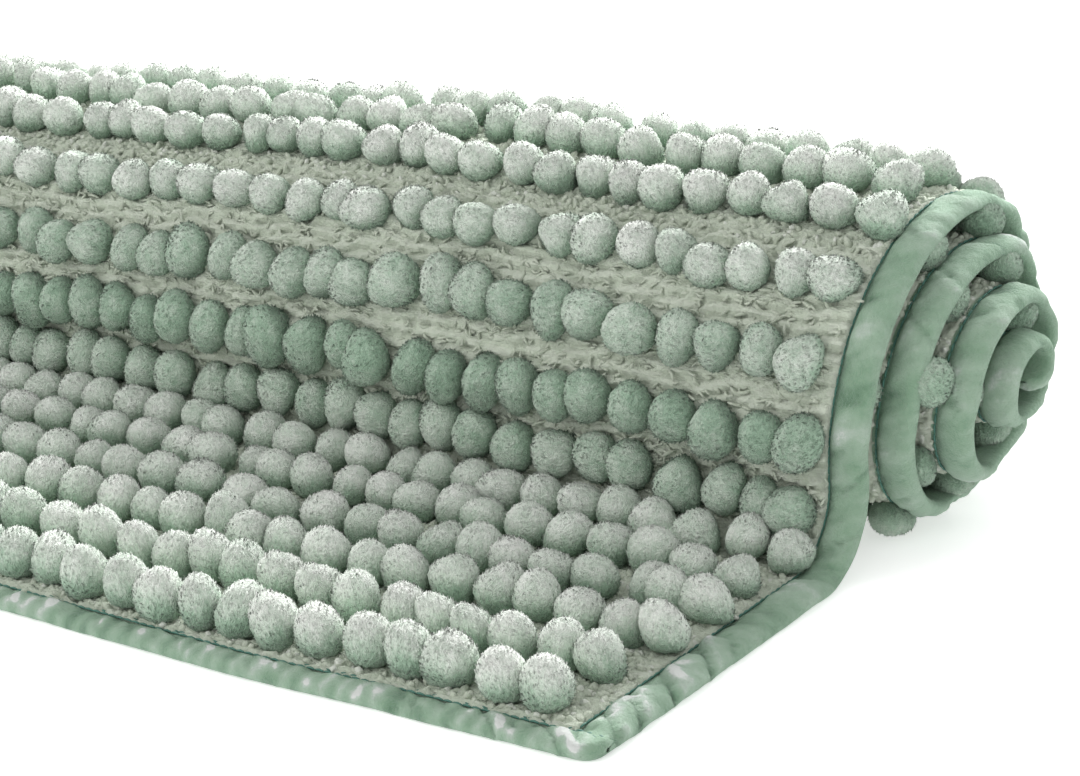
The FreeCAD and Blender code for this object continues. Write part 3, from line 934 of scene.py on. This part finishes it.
def tape_surface(run, seed, pleats=(), pucker=PUCKER_LENGTH, brushed=()):
    """Inward distances, heights and painted light and shade of a puckered, creased tape, over stations along
    its run.
    """
    inward, height, loose, painted_light_and_shade = (np.tile(column, (len(run), 1)) for column in tape_profile().T)
    along = run[:, None] + 0 * inward
    slanted = along + 0.55 * inward + 2.2 * waves(along, 0 * along, 45.0, seed, 5)
    gather = np.abs(np.sin(math.pi * slanted / pucker)) - 0.6
    strength = np.clip(0.65 + 0.55 * waves(along, 0 * along, 60.0, seed + 1, 5), 0.1, 1.5)
    inner_half = np.exp(-((inward - 8.0) / 3.4) ** 2) * (height > 0)
    folds = waves(along, 0.55 * inward, 24.0, seed + 2, 6)
    dents = waves(slanted, 1.1 * inward, 9.0, seed + 5, 8)
    fine = waves(slanted, inward * 1.6, 4.0, seed + 3, 6)
    creases, swell = tape_creases(along, inward, run, np.random.default_rng(seed), pleats)
    lift = 0.95 * gather * strength * inner_half + 0.55 * folds + 0.30 * dents + 0.12 * fine + swell
    height = height + loose * (lift - creases)
    nose = np.clip((3.2 - inward) / 3.2, 0, 1)
    slack = 0.3 * waves(along, 0 * along, 17.0, seed + 4, 5)
    inward = inward + loose * (slack + 0.7 * nose * (creases - lift))
    # Painted light on the lifted crests, painted shade in the creases.
    painted_light_and_shade = painted_light_and_shade + loose * (0.30 * lift - 0.26 * creases)
    # The brushed spots are painted glints, small patches of painted light.
    for middle, centre, length, strength in brushed:
        spot = np.exp(-((slanted - middle) / length) ** 2 - ((inward - centre) / 2.6) ** 2)
        painted_light_and_shade += strength * loose * spot
    return inward, height, painted_light_and_shade


def finish_tape(edge, points, painted_light_and_shade, material):
    faces = grid_faces(*points.shape[:2], close_columns=True)
    flat = points.reshape(-1, 3)
    flat[:, 2] = np.maximum(flat[:, 2], TAPE_LOWEST)
    piece = make_mesh(f"tape_{edge}", flat, faces, [material], floats={"painted_light_and_shade": painted_light_and_shade.ravel()})
    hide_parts(f"binding_{edge}")


def round_off(inward, height, from_end):
    """Rounds the tape's corner and thins it towards an end of its run."""
    rest = np.clip(CORNER_RADIUS - from_end, 0, None)
    rounded = CORNER_RADIUS - np.sqrt(np.clip(CORNER_RADIUS ** 2 - rest ** 2, 0, None))
    squeeze = np.clip((BINDING_WIDTH - rounded) / BINDING_WIDTH, 0.1, 1)[:, None]
    thinning = np.sqrt(np.clip(1 - (1 - np.clip(from_end / END_ROUNDING, 0, 1)) ** 2, 0.02, 1))[:, None]
    return BINDING_WIDTH - (BINDING_WIDTH - inward) * squeeze, 0.4 + (height - 0.4) * thinning


def close_ends(inward, height):
    """Draws the section of the first and last stations together, so that the tape is closed."""
    for end in (0, -1):
        for values, centre in zip((inward, height), SECTION_CENTRE):
            values[end] = centre + (values[end] - centre) * SECTION_CLOSING


def stations(start, stop):
    """Stations along a tape's run, with each end doubled for its closing."""
    run = np.linspace(start, stop, int((stop - start) / STATION_SPACING))
    return np.concatenate([run[:1], run, run[-1:]])


def make_side_binding(side, material):
    """A tape along a side edge: it starts under the front tape and turns over the wound-in corner."""
    run = stations(0.8, LENGTH - 0.3)
    seed = SEED + (7 if side == "right" else 19)
    inward, height, painted_light_and_shade = tape_surface(run, seed, SIDE_PLEATS, brushed=SIDE_GLINTS)
    inward, height = round_off(inward, height, np.minimum(LENGTH - run, run))
    under_front = smooth((BINDING_WIDTH + 1.5 - run) / 3)[:, None]
    height = height * (1 - 0.35 * under_front)
    close_ends(inward, height)
    u = WIDTH - inward if side == "right" else inward
    points = surface(u, run[:, None], height)
    if side == "left":
        points, painted_light_and_shade = points[:, ::-1], painted_light_and_shade[:, ::-1]
    finish_tape(side, points, painted_light_and_shade, material)


def make_front_binding(material):
    """The front tape: narrower, lower and more tightly puckered, with painted glint spots all along it."""
    run = stations(0.3, WIDTH - 0.3)
    rng = np.random.default_rng(SEED + 37)
    # Painted glints: small spots of painted light along the tape.
    spots = np.arange(9, WIDTH - 6, 15.0)
    brushed = [(place, rng.uniform(1, 8), rng.uniform(1.0, 2.6), rng.uniform(0.3, 0.8))
               for place in spots + rng.uniform(-6, 6, len(spots))]
    inward, height, painted_light_and_shade = tape_surface(run, SEED + 31, FRONT_PLEATS, FRONT_PUCKER_LENGTH, brushed)
    drift = 2.5 * waves(run, 0 * run, 30.0, SEED, 4)
    # Painted light on each pucker's crest.
    painted_light_and_shade = painted_light_and_shade + 0.22 * np.cos(2 * math.pi * run / FRONT_PUCKER_LENGTH + drift)[:, None]
    inward = inward * FRONT_NARROWING
    height = np.where(height > 0, height * FRONT_LOWERING, height)
    from_side = np.minimum(run, WIDTH - run)
    inward, height = round_off(inward, height, from_side)
    over_side = smooth((BINDING_WIDTH + 1 - from_side) / 3)[:, None]
    height = height + 0.5 * over_side * (height > 0)
    close_ends(inward, height)
    points = surface(run[:, None], inward, height)
    finish_tape("front", points, painted_light_and_shade, material)


def make_inner_end_binding(material):
    """The tape of the edge at the roll's core, between the side tapes."""
    run = stations(BINDING_WIDTH - 0.8, WIDTH - BINDING_WIDTH + 0.8)
    inward, height, painted_light_and_shade = tape_surface(run, SEED + 43)
    close_ends(inward, height)
    points = surface(run[:, None], LENGTH - inward, height)[:, ::-1]
    finish_tape("inner_end", points, painted_light_and_shade[:, ::-1], material)


# ---- seams ----


SEAM_INSET = 11.4
SEAM_HEIGHT = 1.95
FRONT_SEAM_INSETS = (8.5, 9.6)
FRONT_SEAM_HEIGHT = 1.75
STITCH_SPACING = 2.9
STITCH_HALF_LENGTH = 1.5
STITCH_RADIUS = 0.34
STITCH_ARCH = 0.3
STITCH_RINGS = [(-1, 0.1), (-0.8, 0.8), (0, 1), (0.8, 0.8), (1, 0.1)]
STITCH_SIDES = 6


def stitch_faces():
    """Quads of one closed stitch: its sides, and two that close each end."""
    last = (len(STITCH_RINGS) - 1) * STITCH_SIDES
    sides = grid_faces(len(STITCH_RINGS), STITCH_SIDES, close_columns=True)
    ends = [[3, 2, 1, 0], [5, 4, 3, 0], [last, last + 1, last + 2, last + 3],
            [last, last + 3, last + 4, last + 5]]
    return np.concatenate([sides, ends])


def make_stitches(edge, u, s, height, across_u, material):
    """Thread stitches at (u, s), each a small rounded capsule that lies along its seam."""
    u, s = np.broadcast_arrays(u, s)
    count = len(u)
    along, out = directions(s)
    sideways = np.tile([1.0, 0.0, 0.0], (count, 1))
    forward, cross = (sideways, along) if across_u else (along, -sideways)
    base = surface(u, s, height)
    rings = []
    for reach, girth in STITCH_RINGS:
        lift = STITCH_ARCH * (1 - reach ** 2)
        centre = base + forward * (STITCH_HALF_LENGTH * reach) + out * lift
        for corner in range(STITCH_SIDES):
            around = 2 * math.pi * corner / STITCH_SIDES
            radial = math.cos(around) * cross + math.sin(around) * out
            rings.append(centre + radial * (STITCH_RADIUS * girth))
    points = np.stack(rings, axis=1).reshape(-1, 3)
    first = np.arange(count) * len(STITCH_RINGS) * STITCH_SIDES
    faces = (stitch_faces()[None] + first[:, None, None]).reshape(-1, 4)
    piece = make_mesh(f"stitches_{edge}", points, faces, [material])
    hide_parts(f"seam_{edge}")


def make_seams(material):
    """One line of stitches along each tape, and two along the front one."""
    lengthways = np.arange(BINDING_WIDTH, LENGTH - BINDING_WIDTH, STITCH_SPACING)
    across = np.arange(4.0, WIDTH - 3.0, STITCH_SPACING)
    make_stitches("right", WIDTH - SEAM_INSET, lengthways, SEAM_HEIGHT, False, material)
    make_stitches("left", SEAM_INSET, lengthways, SEAM_HEIGHT, False, material)
    make_stitches("inner_end", across, LENGTH - SEAM_INSET, SEAM_HEIGHT, True, material)
    both_u = np.concatenate([across, across + STITCH_SPACING / 2])
    both_s = np.repeat(FRONT_SEAM_INSETS, len(across))
    make_stitches("front", both_u, both_s, FRONT_SEAM_HEIGHT, True, material)


# ---- stage ----


CAMERA_AZIMUTH = math.radians(35.48)
CAMERA_ELEVATION = math.radians(19.79)
CAMERA_ROLL = math.radians(-2.36)
CAMERA_TO_THE_RIGHT = 365.8
CAMERA_IN_FRONT = 527.5
CAMERA_HEIGHT = 331.9
FOCAL_LENGTH = 97.12
SENSOR_WIDTH = 36.0
BACK_LIGHT_PLACE = (-0.25, 1.03, 0.755)
BACK_LIGHT_SIZE = (1.5, 0.14)
FRONT_LIGHT_PLACE = (-1.0, -1.3, 0.9)
FRONT_LIGHT_SIZE = (1.2, 1.0)
LIGHT_TARGET = (0, 0, 0.05)
KEY_POWER = 46.0
BACK_FILL_POWER = 6.0
FRONT_FILL_POWER = 11.0
WORLD_STRENGTH = 0.90
FLOOR_REACH = 12.0
LAST_LIT_ROW = 13


def make_camera():
    """The camera stands in front of the right end and looks down along the roll."""
    sin_azimuth, cos_azimuth = math.sin(CAMERA_AZIMUTH), math.cos(CAMERA_AZIMUTH)
    level = math.cos(CAMERA_ELEVATION)
    forward = Vector((-sin_azimuth * level, cos_azimuth * level, -math.sin(CAMERA_ELEVATION)))
    right = Vector((cos_azimuth, sin_azimuth, 0))
    up = right.cross(forward)
    turned_right = right * math.cos(CAMERA_ROLL) + up * math.sin(CAMERA_ROLL)
    turned_up = up * math.cos(CAMERA_ROLL) - right * math.sin(CAMERA_ROLL)
    data = bpy.data.cameras.new("camera")
    data.sensor_width = SENSOR_WIDTH
    data.lens = FOCAL_LENGTH
    camera = bpy.data.objects.new("camera", data)
    bpy.context.scene.collection.objects.link(camera)
    place = Vector((RIGHT_EDGE + CAMERA_TO_THE_RIGHT, FRONT_EDGE - CAMERA_IN_FRONT, CAMERA_HEIGHT)) * MM
    basis = Matrix((turned_right, turned_up, -forward)).transposed()
    camera.matrix_world = Matrix.Translation(place) @ basis.to_4x4()
    bpy.context.scene.camera = camera


def area_light(name, place, size, power, colour=(1.0, 1.0, 1.0)):
    """A rectangular light that faces the roll."""
    data = bpy.data.lights.new(name, "AREA")
    data.shape = "RECTANGLE"
    data.size, data.size_y = size
    data.energy = power
    data.color = colour
    light = bpy.data.objects.new(name, data)
    bpy.context.scene.collection.objects.link(light)
    light.location = place
    light.rotation_euler = (Vector(LIGHT_TARGET) - Vector(place)).to_track_quat("-Z", "Y").to_euler()
    return light


def make_floor():
    material, _, shader = new_material("floor_white", 0.9, (0.90, 0.90, 0.90))
    shader.inputs["Emission Color"].default_value = (1, 1, 1, 1)
    shader.inputs["Emission Strength"].default_value = 0.45
    mesh = bpy.data.meshes.new("floor")
    corners = [(-1, -1), (1, -1), (1, 1), (-1, 1)]
    mesh.from_pydata([(x * FLOOR_REACH, y * FLOOR_REACH, 0) for x, y in corners], [], [(0, 1, 2, 3)])
    mesh.materials.append(material)
    floor = bpy.data.objects.new("floor", mesh)
    bpy.context.scene.collection.objects.link(floor)


def make_world():
    world = bpy.data.worlds.new("studio")
    bpy.context.scene.world = world
    world.use_nodes = True
    background = world.node_tree.nodes["Background"]
    background.inputs["Color"].default_value = (1.0, 1.0, 1.0, 1)
    background.inputs["Strength"].default_value = WORLD_STRENGTH
    bpy.context.scene.view_settings.view_transform = "Standard"


def lit_by_key():
    """What the key light reaches: the rows in front of the roll's top, and all tapes and seams."""
    lit = bpy.data.collections.new("lit_by_key")
    for piece in bpy.context.scene.objects:
        is_row = piece.name.startswith(("bobbles_", "ground_pile_"))
        in_front = is_row and int(piece.name[-2:]) <= LAST_LIT_ROW
        if in_front or piece.name.startswith(("tape_", "stitches_")):
            lit.objects.link(piece)
    return lit


def make_lights():
    """A strong narrow key from behind for some of the pieces, and weak fills for everything."""
    key = area_light("key", BACK_LIGHT_PLACE, BACK_LIGHT_SIZE, KEY_POWER)
    key.light_linking.receiver_collection = lit_by_key()
    area_light("back_fill", BACK_LIGHT_PLACE, BACK_LIGHT_SIZE, BACK_FILL_POWER)
    area_light("front_fill", FRONT_LIGHT_PLACE, FRONT_LIGHT_SIZE, FRONT_FILL_POWER, (1.0, 0.99, 0.97))


def make_sheets():
    cloth, backing = cloth_material(), backing_material()
    make_sheet("base_cloth_sheet", "base_cloth", cloth, CLOTH_INSET, -CLOTH_TOP, CLOTH_TOP)
    make_sheet("backing_sheet", "antislip_backing", backing, BACKING_INSET, UNDERSIDE, BACKING_TOP)


def make_ground(materials):
    """A strip of pile in front of each row, and one behind the last."""
    for index in range(1, ROW_COUNT + 2):
        middle = FIRST_ROW + (index - 1.5) * ROW_PITCH
        low = max(middle - ROW_PITCH / 2, FRONT_BAND - 1.0)
        high = min(middle + ROW_PITCH / 2, LENGTH - BINDING_WIDTH + 1)
        if high > low + 1:
            make_ground_strip(index, low, high, materials)


def main():
    bobble = bobble_material()
    ground = ground_materials()
    velour = binding_material()
    make_sheets()
    for number in range(1, ROW_COUNT + 1):
        make_row(number, bobble)
    make_ground(ground)
    make_side_binding("right", velour)
    make_side_binding("left", velour)
    make_front_binding(velour)
    make_inner_end_binding(velour)
    make_seams(thread_material())
    make_floor()
    make_world()
    make_lights()
    make_camera()


main()
